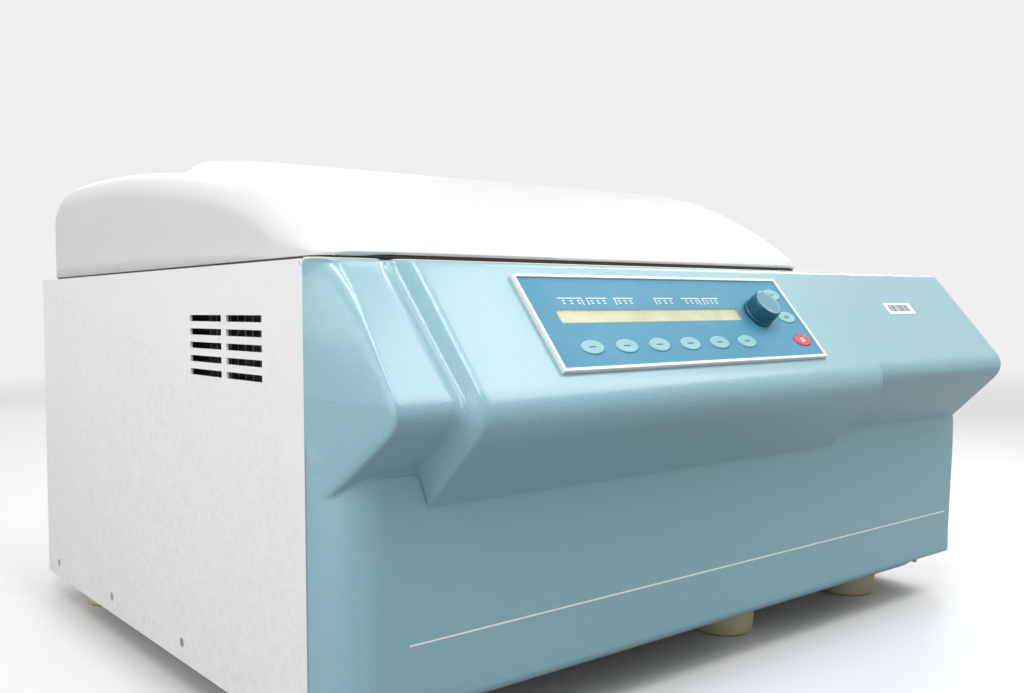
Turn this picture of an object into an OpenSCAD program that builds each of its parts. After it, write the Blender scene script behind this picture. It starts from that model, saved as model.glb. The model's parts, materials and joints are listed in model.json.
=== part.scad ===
/* [Housing] */
// Overall width over the side panels
body_w = 770; // [720:1:820]
// Overall depth from fascia nose to rear edge
body_d = 706; // [660:1:750]
// Height of the deck above the bench
deck_z = 349; // [330:1:370]
// Height of the rubber feet below the base plate
foot_h = 26; // [20:1:32]
// Sheet steel thickness of the panels
sheet = 2; // [1.5:0.1:3]
// Front edge of the side panels, measured from the middle of the depth
panel_front = -256; // [-270:1:-240]

/* [Fascia] */
// Slope of the operating face from horizontal
slope_deg = 49.8; // [45:0.1:55]
// Wall of the moulded fascia
fascia_wall = 3; // [2.5:0.1:4]
// Front wall of the fascia under the nose
wall_y = -298.5; // [-305:0.5:-290]
// Left start of the step up to the console
step_x = -336; // [-345:1:-325]
// Set-back of the left shoulder from the console face
step_back = 6; // [3:0.5:10]
// Right end of the long console nose
console_right = 150; // [140:1:160]

/* [Controls] */
// Left edge of the control panel bezel
panel_x0 = -233; // [-240:1:-225]
// Right edge of the control panel bezel
panel_x1 = 76; // [72:1:82]
// Height of the bezel over the face
bezel_h = 3.6; // [3:0.1:5]
// Width of the bezel rails
bezel_rail = 2.4; // [2:0.1:4]
// Half width of an oval key
key_a = 11.5; // [9:0.1:13]
// Half height of an oval key
key_b = 6.5; // [5:0.1:8]
// Pitch of the lower row of keys
key_pitch = 35.2; // [30:0.1:40]
// Key travel
key_travel = 0.5; // [0.2:0.1:1]
// Knob radius
knob_r = 14; // [10:0.5:18]
// Height of the knob over the face
knob_h = 18.6; // [16:0.1:24]

/* [Lid] */
// Left face of the lid
lid_x0 = -377; // [-380:1:-370]
// Right face of the lid
lid_x1 = 151; // [145:1:160]
// Front edge of the lid
lid_y0 = -262; // [-270:1:-255]
// Rear wall of the lid
lid_y1 = 341; // [335:1:343]
// Underside of the lid rim
lid_z = 353; // [352:0.5:356]
// Wall of the lid moulding
lid_wall = 3.5; // [3:0.1:5]

/* [Chamber and rotor] */
// Chamber axis, across
cx = -112; // [-120:1:-100]
// Chamber axis, along
cy = 40; // [30:1:50]
// Inner radius of the chamber bowl
bowl_r = 212; // [200:1:220]
// Height of the chamber floor
bowl_z = 118; // [110:1:130]
// Radius from the rotor axis to the bucket pivots
pivot_r = 100; // [90:1:110]
// Height of the bucket pivots
pivot_z = 262; // [250:1:270]
// Outer radius of a bucket
bucket_r = 42; // [36:1:45]

/* [Hidden] */
$fn = 64;
hw = body_w / 2;
y_back = body_d / 2;
rear_y = y_back - 4;
in_x = hw - sheet;
pan_z0 = foot_h;
pan_z1 = foot_h + 3;
deck_lo = deck_z - sheet;
ca = cos(slope_deg);
sa = sin(slope_deg);
slope_y = -277;
slope_z = deck_z - 3;
hinge_y = 346;
hinge_z = 356;
lift_r = 200.6;
lift_u = [146, 372];
lift_l = [276, 168];
lift_x = -355;
lift_len = 242;
lift_deg = 122.5;
fan_x = 270;
fan_z = 180;
comp = [268, -70];
foot_pos = [for (x = [-340, 87, 300], y = [-220, 270]) [x, y]];
left_screw_y = [313, 139, -37, -213];
strike_x = [-251, 27];
lock_y = -217;
row_x = [for (i = [0 : 5]) -194.2 + i * key_pitch];
side_s = [28.3, 54.2, 79.9];
knob_at = [19.5, 50.2];
panel_s = [9.7, 99.1];
window_x = [-209.4, -3.5];
window_s = [43.2, 56];
key_spots = concat([for (x = row_x) [x, 78.9]], [for (s = side_s) [57.2, s]]);

// a block from its low corner to its high corner
module block(a, b) {
  translate(a) cube([b[0] - a[0], b[1] - a[1], b[2] - a[2]]);
}

// a cylinder along X
module rod_x(x0, x1, y, z, r) {
  translate([x0, y, z]) rotate([0, 90, 0]) cylinder(r = r, h = x1 - x0);
}

// a cylinder along Y
module rod_y(x, y0, y1, z, r) {
  translate([x, y0, z]) rotate([-90, 0, 0]) cylinder(r = r, h = y1 - y0);
}

// local frame of the sloped face: x right, -s down the slope, h outwards
module on_slope() {
  translate([0, slope_y, slope_z]) rotate([slope_deg, 0, 0]) children();
}

// an oval prism standing on the sloped face
module oval(x, s, a, b, h0, h1) {
  translate([x, -s, h0]) linear_extrude(h1 - h0)
    polygon([for (i = [0 : 35]) [a * cos(i * 10), b * sin(i * 10)]]);
}

// pipe through axis-aligned corner points
module pipe(pts, r) {
  for (i = [0 : len(pts) - 2]) {
    d = pts[i + 1] - pts[i];
    l = norm(d);
    translate(pts[i])
      rotate([0, acos(d[2] / l), atan2(d[1], d[0])]) cylinder(r = r, h = l);
    if (i > 0) translate(pts[i]) sphere(r = r);
  }
}

// ---------- housing sheet metal ----------

module base_plate() {
  color([0.62, 0.64, 0.66]) difference() {
    union() {
      block([-in_x, panel_front + 2, pan_z0], [in_x, rear_y - sheet, pan_z1]);
      for (s = [-1, 1])
        translate([s * (in_x - sheet / 2), 0, 0])
          block([-sheet / 2, panel_front + 2, pan_z1], [sheet / 2, rear_y - sheet, 52]);
    }
    for (p = foot_pos) translate([p[0], p[1], 0]) cylinder(r = 4.1, h = 60);
    for (y = left_screw_y) rod_x(-hw, hw, y, 40, 2);
    block([cx - 40, cy - 40, 20], [cx + 40, cy + 40, 34]);
  }
}

module side_sheet() {
  block([0, panel_front, 24], [sheet, y_back, deck_z]);
  block([sheet, panel_front + 6, 24], [14, y_back - 6, pan_z0]);
  block([sheet, panel_front, 56], [14, panel_front + sheet, deck_lo]);
}

module left_side_panel() {
  color([0.87, 0.87, 0.87]) difference() {
    translate([-hw, 0, 0]) side_sheet();
    for (y0 = [-126, -195], i = [0 : 4])
      block([-hw - 1, y0, 264.2 + i * 10.6], [-hw + 4, y0 + 60, 269.2 + i * 10.6]);
    for (y = left_screw_y) rod_x(-hw - 1, -hw + 4, y, 40, 4);
    // open end of the folded corner seam
    translate([-hw - 1, -252.6, 346]) rotate([45, 0, 0]) block([0, -3.2, -0.5], [2.9, 6, 0.5]);
  }
}

module right_side_panel() {
  color([0.87, 0.87, 0.87]) difference() {
    mirror([1, 0, 0]) translate([-hw, 0, 0]) side_sheet();
    for (y0 = [-200, -130, -60, 10], i = [0 : 9])
      block([hw - 4, y0, 110 + i * 10.6], [hw + 1, y0 + 60, 115 + i * 10.6]);
    for (y = left_screw_y) rod_x(hw - 4, hw + 1, y, 40, 4);
  }
}

module rear_panel() {
  color([0.84, 0.84, 0.84]) difference() {
    block([-in_x, rear_y - sheet, pan_z0], [in_x, rear_y, deck_z]);
    for (i = [0 : 13])
      block([185, rear_y - 4, 75 + i * 16], [355, rear_y + 1, 82 + i * 16]);
    block([-342, rear_y - 4, 64], [-258, rear_y + 1, 96]);
    for (x = [-360, 0, 360], z = [60, 320]) rod_y(x, rear_y - 4, rear_y + 1, z, 2);
  }
}

module top_deck() {
  color([0.93, 0.93, 0.92]) difference() {
    block([-in_x, panel_front, deck_lo], [in_x, rear_y - sheet, deck_z]);
    translate([cx, cy, deck_lo - 1]) cylinder(r = bowl_r + 1.5, h = 5, $fn = 96);
    block([lift_x - 11, 146, deck_lo - 1], [lift_x + 11, 310, deck_z + 1]);
    for (x = strike_x)
      block([x - 6, lock_y - 16, deck_lo - 1], [x + 6, lock_y + 16, deck_z + 1]);
  }
}

module front_bulkhead() {
  color([0.6, 0.62, 0.64]) difference() {
    block([-371, panel_front + 2, pan_z1], [371, panel_front + 4, deck_lo]);
    block([-200, panel_front, 70], [200, panel_front + 5, 180]);
    rod_y(0, panel_front, panel_front + 6, 230, 18);
  }
}

// ---------- moulded fascia ----------

// outline of the nose, from the deck edge round to the bottom lip: n drops the nose,
// u moves the root of the underside, d sets the sloped face back
function nose_line(n, u, d) = let (k = [d * sa, -d * ca]) [
  [panel_front, deck_z],
  [slope_y + 5 + k[0], deck_z],
  [slope_y + k[0], slope_z + k[1]],
  [slope_y - ca * 60 + k[0], slope_z - sa * 60 + k[1]],
  [slope_y - ca * (104 + 0.6 * n) + k[0], slope_z - sa * (104 + 0.6 * n) + k[1]],
  [-347.5 - 0.5 * n + k[0], 259.5 - 0.65 * n + k[1]],
  [-348 - 0.5 * n + k[0], 253 - 0.7 * n + k[1] / 2],
  [-344.5 - 0.5 * n + k[0], 246.5 - 0.75 * n],
  [-322 + k[0] / 2, 221.6 - 1.33 * n],
  [wall_y - 3, 198.5 + u],
  [wall_y, 194 + u],
  [wall_y, 120],
  [wall_y, 52],
  [wall_y + 2.5, 45.5],
  [wall_y + 9, 42],
  [panel_front, 42]];

// how far the face stands out at a distance from the panel end
function reach(t, r, p) = t >= r ? 1 : max(0.02, pow(1 - pow(1 - t / r, p), 1 / p));

function end_reach(x, t, i) = x > 0 ? reach(t, i < 9 ? 8 : 14, 2)
  : i < 9 ? reach(t, 22, 2.6) : reach(t, 36, 2);

// inward normals of a profile line
function inward(l, i) =
  let (a = l[max(i - 1, 0)], b = l[min(i + 1, len(l) - 1)], d = b - a)
  [-d[1], d[0]] / norm(d);

// a station is [x, nose drop, root shift, set-back, lean of the line down the slope]
function lean(v, i) = v[4] * min(1, max(0, (i - 2) / 2));

function nose_out(v) =
  let (t = hw - abs(v[0]), l = nose_line(v[1], v[2], v[3]))
  [for (i = [0 : len(l) - 1])
    let (g = end_reach(v[0], t, i))
    [v[0] + lean(v, i), panel_front + (l[i][0] - panel_front) * g, l[i][1]]];

function nose_in(v, w) =
  let (t = hw - abs(v[0]), l = nose_line(v[1], v[2], v[3]), m = len(l) - 1)
  [for (i = [0 : m])
    let (g = end_reach(v[0], t, i),
         k = i == 0 ? [0, -1] : i == m ? [0, 1] : inward(l, i),
         q = l[i] + k * w,
         y = panel_front + (min(q[0], panel_front) - panel_front) * g)
    [v[0] + lean(v, i) - sign(v[0]) * w * max(0, 1 - t / 40), y, q[1]]];

module nose_shell(stations, w) {
  n = len(stations);
  outer = [for (v = stations) nose_out(v)];
  inner = [for (v = stations) nose_in(v, w)];
  m = len(outer[0]);
  pts = concat([for (r = outer) each r], [for (r = inner) each r]);
  k = n * m;
  polyhedron(points = pts, faces = concat(
    [for (s = [0 : n - 2], i = [0 : m - 2]) each
      [[s * m + i, s * m + i + 1, (s + 1) * m + i + 1],
       [s * m + i, (s + 1) * m + i + 1, (s + 1) * m + i]]],
    [for (s = [0 : n - 2], i = [0 : m - 2]) each
      [[k + s * m + i, k + (s + 1) * m + i + 1, k + s * m + i + 1],
       [k + s * m + i, k + (s + 1) * m + i, k + (s + 1) * m + i + 1]]],
    [for (s = [0 : n - 2]) each
      [[s * m, (s + 1) * m, k + (s + 1) * m], [s * m, k + (s + 1) * m, k + s * m]]],
    [for (s = [0 : n - 2]) let (a = s * m + m - 1, b = a + m) each
      [[a, k + a, k + b], [a, k + b, b]]],
    [for (i = [0 : m - 2]) each
      [[i, k + i, k + i + 1], [i, k + i + 1, i + 1]]],
    [for (i = [0 : m - 2]) let (a = (n - 1) * m + i) each
      [[a, a + 1, k + a + 1], [a, k + a + 1, k + a]]]));
}

module front_fascia() {
  ends = [0, 2, 5, 9, 14, 22, 30, 38];
  right_ends = [0, 1, 2.5, 5, 8, 14];
  stations = concat(
    [for (t = ends) [-hw + t, 0, 0, step_back, 0]],
    [[step_x, 0, 0, step_back, 8], [step_x + 4, 0, 0, step_back + 3.5, 8],
     [step_x + 25, 10, -13, 0, 3],
     [console_right, 10, -13, 0, 0], [console_right + 4, 0, 0, 0, 0]],
    [for (i = [0 : 5]) [hw - right_ends[5 - i], 0, 0, 0, 0]]);
  color([0.62, 0.76, 0.82]) difference() {
    nose_shell(stations, fascia_wall);
    on_slope() block([panel_x0 + 14, -88, -12], [panel_x1 - 6, -19, 4]);
  }
}

// ---------- control panel ----------

module control_bezel() {
  color([0.94, 0.94, 0.92]) on_slope() difference() {
    block([panel_x0, -panel_s[1], 0], [panel_x1, -panel_s[0], bezel_h]);
    block([panel_x0 + bezel_rail, -panel_s[1] + bezel_rail, -1],
      [panel_x1 - bezel_rail, -panel_s[0] - bezel_rail, bezel_h + 1]);
  }
}

module control_plate() {
  color([0.25, 0.55, 0.72]) on_slope() difference() {
    block([panel_x0 + bezel_rail, -panel_s[1] + bezel_rail, 0],
      [panel_x1 - bezel_rail, -panel_s[0] - bezel_rail, 2.4]);
    for (k = key_spots) oval(k[0], k[1], key_a + 0.3, key_b + 0.3, -1, 4);
    block([window_x[0], -window_s[1], -1], [window_x[1], -window_s[0], 4]);
    translate([knob_at[0], -knob_at[1], -1]) cylinder(r = 5.1, h = 5);
  }
}

module display_window() {
  color([0.9, 0.88, 0.65, 0.6]) on_slope()
    block([window_x[0], -window_s[1], 0.8], [window_x[1], -window_s[0], 2.2]);
}

module display_module() {
  color([0.85, 0.84, 0.6]) on_slope()
    block([window_x[0] + 1, -window_s[1] + 0.5, -4], [window_x[1] - 1, -window_s[0] - 0.5, 0.8]);
}

module control_board() {
  color([0.1, 0.4, 0.2]) on_slope() {
    difference() {
      block([-216, -87, -5.6], [66, -20, -4]);
      translate([knob_at[0], -knob_at[1], -7]) cylinder(r = 9.1, h = 5);
    }
    for (x = [-212, -70, 44], s = [24, 64])
      translate([x, -s, -4]) cylinder(r = 3, h = 4);
    for (k = key_spots) translate([k[0], -k[1], -4]) cylinder(r = 3, h = 2.5);
  }
}

module encoder() {
  color([0.35, 0.35, 0.37]) on_slope() translate([knob_at[0], -knob_at[1], 0]) difference() {
    union() {
      translate([0, 0, -4]) cylinder(r = 5, h = 6.2);
      translate([0, 0, -16]) cylinder(r = 9, h = 12);
      translate([0, 0, -4]) cylinder(r = 11, h = 1);
    }
    translate([0, 0, -13]) cylinder(r = 3.05, h = 20);
  }
}

module knob() {
  color([0.05, 0.32, 0.45]) on_slope() translate([knob_at[0], -knob_at[1], 0]) {
    rotate_extrude($fn = 96) polygon([[3, 3], [knob_r + 0.6, 3], [knob_r + 0.6, 5],
      [knob_r - 0.6, 5.6], [knob_r - 0.6, 6.4], [knob_r, 7], [knob_r - 0.5, knob_h - 2],
      [knob_r - 1.7, knob_h - 0.4], [0, knob_h], [0, 14], [3, 14]]);
    translate([0, 0, -12]) cylinder(r = 3, h = 26);
  }
}

module oval_key(i) {
  on_slope() oval(key_spots[i][0], key_spots[i][1], key_a, key_b, -0.8, 3.2);
}

module program_key() { color([0.6, 0.83, 0.87]) oval_key(0); }
module temperature_key() { color([0.6, 0.83, 0.87]) oval_key(1); }
module brake_key() { color([0.6, 0.83, 0.87]) oval_key(2); }
module force_key() { color([0.6, 0.83, 0.87]) oval_key(3); }
module speed_key() { color([0.6, 0.83, 0.87]) oval_key(4); }
module time_key() { color([0.6, 0.83, 0.87]) oval_key(5); }
module open_key() { color([0.6, 0.83, 0.87]) oval_key(6); }
module start_key() { color([0.6, 0.83, 0.87]) oval_key(7); }
module stop_key() { color([0.82, 0.2, 0.26]) oval_key(8); }

// ---------- feet and fasteners ----------

module feet() {
  color([0.72, 0.68, 0.55]) for (p = foot_pos) translate([p[0], p[1], 0])
    rotate_extrude() polygon([[9, 0], [26, 0], [28, 2], [30, foot_h - 3],
      [30, foot_h], [4.1, foot_h], [4.1, 12], [9, 12]]);
}

module foot_bolts() {
  color([0.7, 0.7, 0.72]) for (p = foot_pos) translate([p[0], p[1], 0]) {
    translate([0, 0, 6]) cylinder(r = 7.5, h = 6);
    translate([0, 0, 6]) cylinder(r = 4, h = pan_z1 + 2);
    translate([0, 0, pan_z1]) cylinder(r = 7, h = 6, $fn = 6);
  }
}

module panel_screws() {
  color([0.75, 0.75, 0.77]) {
    for (y = left_screw_y, s = [-1, 1]) scale([s, 1, 1]) {
      rod_x(in_x, hw, y, 40, 4);
      rod_x(in_x - 10, in_x + 0.5, y, 40, 2);
    }
    for (x = [-360, 0, 360], z = [60, 320]) {
      rod_y(x, rear_y, rear_y + 2, z, 4);
      rod_y(x, rear_y - 8, rear_y + 1, z, 2);
    }
  }
}

// ---------- chamber ----------

module chamber_bowl() {
  color([0.8, 0.81, 0.82]) translate([cx, cy, 0]) rotate_extrude($fn = 96)
    polygon([[30, bowl_z], [bowl_r + 1.5 - 14, bowl_z], [bowl_r + 1.5 - 4, bowl_z + 4],
      [bowl_r + 1.5, bowl_z + 14], [bowl_r + 1.5, deck_lo - 1.5], [228, deck_lo - 1.5],
      [228, deck_lo], [bowl_r, deck_lo], [bowl_r, bowl_z + 14.6],
      [bowl_r - 4, bowl_z + 5.6], [bowl_r - 13, bowl_z + 1.5], [30, bowl_z + 1.5]]);
}

module chamber_insulation() {
  color([0.85, 0.8, 0.6]) difference() {
    translate([cx, cy, 0]) rotate_extrude($fn = 96) polygon([[72, 98], [248, 98], [248, 343],
      [228, 343], [228, bowl_z], [72, bowl_z]]);
    for (p = [[105.9, 40], [104.98, 60]])
      translate([p[0], p[1], 90]) cylinder(r = 4, h = 40);
  }
}

module guard_ring() {
  color([0.45, 0.46, 0.48]) translate([cx, cy, 0]) rotate_extrude($fn = 96)
    polygon([[222, bowl_z], [228, bowl_z], [228, 340], [222, 340]]);
}

module chamber_seal() {
  color([0.08, 0.08, 0.09]) translate([cx, cy, 0]) rotate_extrude($fn = 96)
    polygon([[bowl_r + 2, deck_z], [bowl_r + 16, deck_z], [bowl_r + 14, deck_z + 3],
      [bowl_r + 7, deck_z + 6.6], [bowl_r + 4, deck_z + 5]]);
}

module refrigerant_lines() {
  color([0.72, 0.43, 0.25]) {
    for (i = [0 : 5]) translate([cx, cy, 150 + i * 30])
      rotate_extrude($fn = 96) translate([216.5, 0]) circle(r = 3, $fn = 24);
    pipe([[105.9, cy, 300], [105.9, cy, 85], [150, cy, 85], [150, -70, 85],
      [comp[0] - 72, -70, 85]], 4);
    pipe([[104.98, 60, 150], [104.98, 60, 75], [150, 60, 75], [150, 250, 75],
      [150, 250, 150], [150, 318, 150], [168, 318, 150]], 4);
    translate([150, 250, 84]) cylinder(r = 13, h = 56);
    pipe([[comp[0], comp[1], 207], [comp[0], comp[1], 325], [comp[0], 318, 325],
      [comp[0], 318, 300]], 4);
  }
}

// ---------- drive ----------

module motor_carrier() {
  color([0.5, 0.52, 0.54]) translate([cx, cy, 0]) {
    difference() {
      translate([0, 0, 55]) cylinder(r = 118, h = 6);
      translate([0, 0, 54]) cylinder(r = 70, h = 8);
    }
    for (a = [45 : 90 : 315]) rotate([0, 0, a]) translate([200, 0, pan_z1])
      cylinder(r = 10, h = 98 - pan_z1);
  }
}

module motor_housing() {
  color([0.3, 0.31, 0.33]) translate([cx, cy, 0]) difference() {
    union() {
      translate([0, 0, 36]) cylinder(r = 70, h = 76);
      translate([0, 0, 61]) cylinder(r = 85, h = 6);
    }
    translate([0, 0, 44]) cylinder(r = 66, h = 60);
    translate([0, 0, 40]) cylinder(r = 12.05, h = 80);
  }
}

module motor_stator() {
  color([0.6, 0.35, 0.2]) translate([cx, cy, 54]) difference() {
    cylinder(r = 66, h = 40);
    translate([0, 0, -1]) cylinder(r = 39.5, h = 42);
  }
}

module rubber_mounts() {
  color([0.1, 0.1, 0.1]) {
    for (a = [0 : 90 : 270]) translate([cx, cy, pan_z1]) rotate([0, 0, a])
      translate([100, 0, 0]) cylinder(r = 14, h = 55 - pan_z1);
    for (x = [-60, 60], y = [-60, 60])
      translate([comp[0] + x, comp[1] + y, pan_z1]) cylinder(r = 12, h = 11);
    translate([cx, cy, 112]) difference() {
      cylinder(r = 44, h = 6);
      translate([0, 0, -1]) cylinder(r = 12.6, h = 8);
    }
  }
}

module rotor_shaft() {
  color([0.7, 0.71, 0.73]) translate([cx, cy, 0]) {
    translate([0, 0, 42]) cylinder(r = 12, h = 194);
    translate([0, 0, 52]) cylinder(r = 38.5, h = 44);
  }
}

module rotor_cross() {
  color([0.72, 0.73, 0.75]) translate([cx, cy, 0]) difference() {
    union() {
      translate([0, 0, 190]) cylinder(r = 32, h = 84);
      for (a = [45 : 90 : 315]) rotate([0, 0, a]) {
        block([20, -14, 246], [96, 14, 274]);
      }
      for (a = [0 : 90 : 270]) rotate([0, 0, a]) {
        translate([0, 0, 248]) linear_extrude(28)
          polygon([[52, 52], [110, 52], [110, 72], [72, 110], [52, 110]]);
        translate([pivot_r, 53, pivot_z]) rotate([90, 0, 0]) cylinder(r = 6, h = 9);
        translate([44, pivot_r, pivot_z]) rotate([0, 90, 0]) cylinder(r = 6, h = 9);
      }
    }
    translate([0, 0, 180]) cylinder(r = 12, h = 60);
    translate([0, 0, 236]) cylinder(r = 21, h = 60);
  }
}

module rotor_nut() {
  color([0.6, 0.61, 0.63]) translate([cx, cy, 236]) {
    cylinder(r = 16, h = 26);
    translate([0, 0, 26]) cylinder(r = 9, h = 6, $fn = 6);
  }
}

module bucket(a) {
  color([0.75, 0.76, 0.78]) translate([cx, cy, 0]) rotate([0, 0, a])
    translate([pivot_r, 0, pivot_z]) difference() {
      union() {
        translate([0, 0, -87]) cylinder(r = bucket_r - 4, h = 4);
        translate([0, 0, -83]) cylinder(r = bucket_r, h = 93);
        rotate([90, 0, 0]) translate([0, 0, -50]) cylinder(r = 11, h = 100);
      }
      translate([0, 0, -82]) cylinder(r = bucket_r - 4, h = 100);
      rotate([90, 0, 0]) translate([0, 0, -60]) cylinder(r = 6.05, h = 120);
    }
}

module bucket_1() { bucket(0); }
module bucket_2() { bucket(90); }
module bucket_3() { bucket(180); }
module bucket_4() { bucket(270); }

// ---------- refrigeration and power ----------

module compressor() {
  color([0.12, 0.12, 0.13]) translate([comp[0], comp[1], 0]) {
    rotate_extrude() polygon([[0, 43], [58, 43], [68, 52], [72, 66], [72, 168],
      [68, 186], [56, 198], [36, 205], [0, 207]]);
    block([-75, -75, 40], [75, 75, 43]);
  }
}

module condenser() {
  color([0.6, 0.62, 0.64]) {
    for (x = [168, 369]) block([x, 296, pan_z1], [x + 3, 340, 300]);
    block([171, 296, 297], [369, 340, 300]);
    for (i = [0 : 23]) block([176 + i * 8, 300, 64], [177.2 + i * 8, 338, 296]);
    for (z = [80 : 40 : 280]) rod_x(171, 369, 318, z, 4);
  }
}

module fan_shroud() {
  color([0.2, 0.2, 0.22]) {
    difference() {
      union() {
        block([168, 288, pan_z1], [372, 290, 300]);
        block([168, 290, 60], [171, 296, 300]);
        block([369, 290, 60], [372, 296, 300]);
        rod_y(fan_x, 262, 296, fan_z, 91);
      }
      rod_y(fan_x, 250, 300, fan_z, 88);
    }
    difference() {
      union() {
        rod_y(fan_x, 234, 268, fan_z, 20);
        for (a = [45 : 90 : 315]) translate([fan_x, 265.5, fan_z]) rotate([0, a, 0])
          rod_x(6, 89.5, 0, 0, 2.2);
      }
      rod_y(fan_x, 240, 280, fan_z, 3.05);
    }
  }
}

module fan_rotor() {
  color([0.25, 0.25, 0.27]) translate([fan_x, 0, fan_z]) {
    rod_y(0, 274, 292, 0, 21);
    rod_y(0, 242, 276, 0, 3);
    for (a = [0 : 60 : 300]) rotate([0, a, 0]) translate([18, 283, 0]) rotate([32, 0, 0])
      block([0, -1, -13], [66, 1, 13]);
  }
}

module power_unit() {
  color([0.1, 0.1, 0.11]) {
    block([-350, -206, pan_z1], [-344, -74, 315]);
    for (i = [0 : 10]) block([-372, -206 + i * 13, pan_z1 + 26], [-350, -204 + i * 13, 315]);
    block([-376, -206, pan_z1], [-350, -74, pan_z1 + 3]);
  }
}

module mains_inlet() {
  color([0.1, 0.1, 0.11]) difference() {
    union() {
      block([-342, 316, 64], [-258, rear_y, 96]);
      block([-346, rear_y, 60], [-254, rear_y + 2, 100]);
    }
    block([-330, 330, 70], [-298, rear_y + 3, 90]);
    block([-284, 330, 67], [-268, rear_y + 3, 93]);
    rod_x(-287, -265, 343, 80, 1.55);
  }
  color([0.8, 0.75, 0.5]) for (x = [-323, -314, -305])
    block([x - 1, 328, 76], [x + 1, 344, 84]);
}

module rocker() {
  color([0.06, 0.06, 0.07]) translate([0, 343, 80]) rotate([-10, 0, 0]) {
    translate([-283.5, 0, 0]) rotate([90, 0, 90]) linear_extrude(15)
      polygon([[-5, -4], [-5, 4], [0, 10.6], [4.5, 11], [2.8, 0], [4.5, -11], [0, -10.6]]);
    rod_x(-286.5, -265.5, 0, 0, 1.5);
  }
}

// ---------- lid and its hardware ----------

hinge_x = [-300, 75];

module deck_hinges() {
  color([0.66, 0.67, 0.69]) for (x = hinge_x) translate([x, 0, 0]) {
    block([-28, 310, deck_z], [28, rear_y - sheet, deck_z + 2]);
    for (s = [[-28, -12.4], [12.4, 28]]) {
      rod_x(s[0], s[1], hinge_y, hinge_z, 5);
      block([s[0], 343, deck_z + 1], [s[1], 347, hinge_z]);
    }
    rod_x(-28, 28, hinge_y, hinge_z, 2.5);
  }
}

module lid_hinges() {
  color([0.66, 0.67, 0.69]) for (x = hinge_x) translate([x, 0, 0]) difference() {
    union() {
      rod_x(-12, 12, hinge_y, hinge_z, 5);
      block([-12, lid_y1, hinge_z], [12, lid_y1 + 3, 392]);
      block([-12, lid_y1, hinge_z], [12, hinge_y, hinge_z + 5]);
    }
    rod_x(-14, 14, hinge_y, hinge_z, 2.55);
  }
}

// side outline of the raised middle of the lid, and of its lower left shoulder
lid_mid = [[-262, 353], [-254, 356], [-230, 371], [-207, 385], [-181, 400], [-155, 412],
  [-127, 423.5], [-99, 432.5], [-68, 440.5], [-38, 446], [0, 451], [40, 454], [100, 456],
  [180, 456], [240, 454], [280, 450], [306, 444], [324, 435.5], [335, 424], [341, 408],
  [341, 353]];
lid_low = [[-262, 353], [-252, 355], [-232, 364], [-210, 377], [-186, 390], [-160, 402],
  [-119, 414], [-54, 424.5], [17, 433], [99, 440], [180, 442], [240, 441], [284, 437],
  [312, 430], [328, 421], [337, 411], [341, 397], [341, 353]];
// front outline with rounded top corners
lid_front = [[-377, 352], [-377, 412], [-375.5, 422], [-371, 431], [-364, 438], [-354, 442],
  [-322, 444], [-300, 458], [118, 458], [132, 454], [142, 446], [148, 436], [151, 422],
  [151, 352]];

module side_prism(line, x0, x1, w) {
  n = len(line);
  translate([x0, 0, 0]) rotate([90, 0, 90]) linear_extrude(x1 - x0)
    polygon([for (i = [0 : n - 1])
      [min(line[i][0] + (i < 4 ? w * 1.3 : 0), lid_y1 - w), line[i][1] - w]]);
}

module lid_form(w) {
  intersection() {
    union() {
      side_prism(lid_low, lid_x0, lid_x1, w);
      side_prism(lid_mid, -312 + w, lid_x1, w);
    }
    translate([0, 400, 0]) rotate([90, 0, 0]) linear_extrude(720)
      polygon([for (p = lid_front)
        [p[0] < -340 ? p[0] + w : p[0] > 100 ? p[0] - w : p[0], p[1] - w]]);
  }
}

module lid_shell() {
  color([0.96, 0.96, 0.95]) difference() {
    lid_form(0);
    lid_form(lid_wall);
    block([-300, -240, 300], [100, 300, lid_z]);
  }
}

module lid_liner() {
  color([0.85, 0.86, 0.86]) {
    difference() {
      block([lid_x0 + lid_wall, -230, hinge_z], [lid_x1 - lid_wall, lid_y1 - lid_wall, 359]);
      block([lift_x - 12, 130, hinge_z - 1], [lift_x + 12, 216, 361]);
    }
    for (x = strike_x) difference() {
      block([x - 3, -228, 322], [x + 3, -206, hinge_z]);
      rod_x(x - 4, x + 4, lock_y, 332, 5.5);
    }
    block([-372, lift_u[0] - 12, 359], [-367, lift_u[0] + 12, 384]);
    rod_x(-368, -348, lift_u[0], lift_u[1], 4);
  }
}

module lid_foam() {
  color([0.25, 0.25, 0.26]) translate([cx, cy, 359]) cylinder(r = 195, h = 26);
}

// gas strut, drawn along its own line in the plane x = lift_x
module lift_line() {
  translate([lift_x, lift_l[0], lift_l[1]]) rotate([lift_deg, 0, 0]) rotate([-90, 0, 0])
    children();
}

module strut_tube() {
  color([0.1, 0.1, 0.11]) difference() {
    union() {
      lift_line() {
        translate([0, 0, 6]) cylinder(r = 5, h = 12);
        translate([0, 0, 14]) cylinder(r = 9, h = 198);
      }
      rod_x(lift_x - 5, lift_x + 5, lift_l[0], lift_l[1], 8.5);
    }
    lift_line() translate([0, 0, 22]) cylinder(r = 7, h = 184);
    lift_line() translate([0, 0, 22]) cylinder(r = 4.6, h = 200);
    rod_x(lift_x - 8, lift_x + 8, lift_l[0], lift_l[1], 4.05);
  }
}

module strut_rod() {
  color([0.78, 0.79, 0.8]) difference() {
    union() {
      lift_line() {
        translate([0, 0, lift_len - 205]) cylinder(r = 4, h = 199);
        translate([0, 0, lift_len - 205]) cylinder(r = 6.6, h = 10);
      }
      rod_x(lift_x - 5, lift_x + 5, lift_u[0], lift_u[1], 8.5);
    }
    rod_x(lift_x - 8, lift_x + 8, lift_u[0], lift_u[1], 4.05);
  }
}

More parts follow.
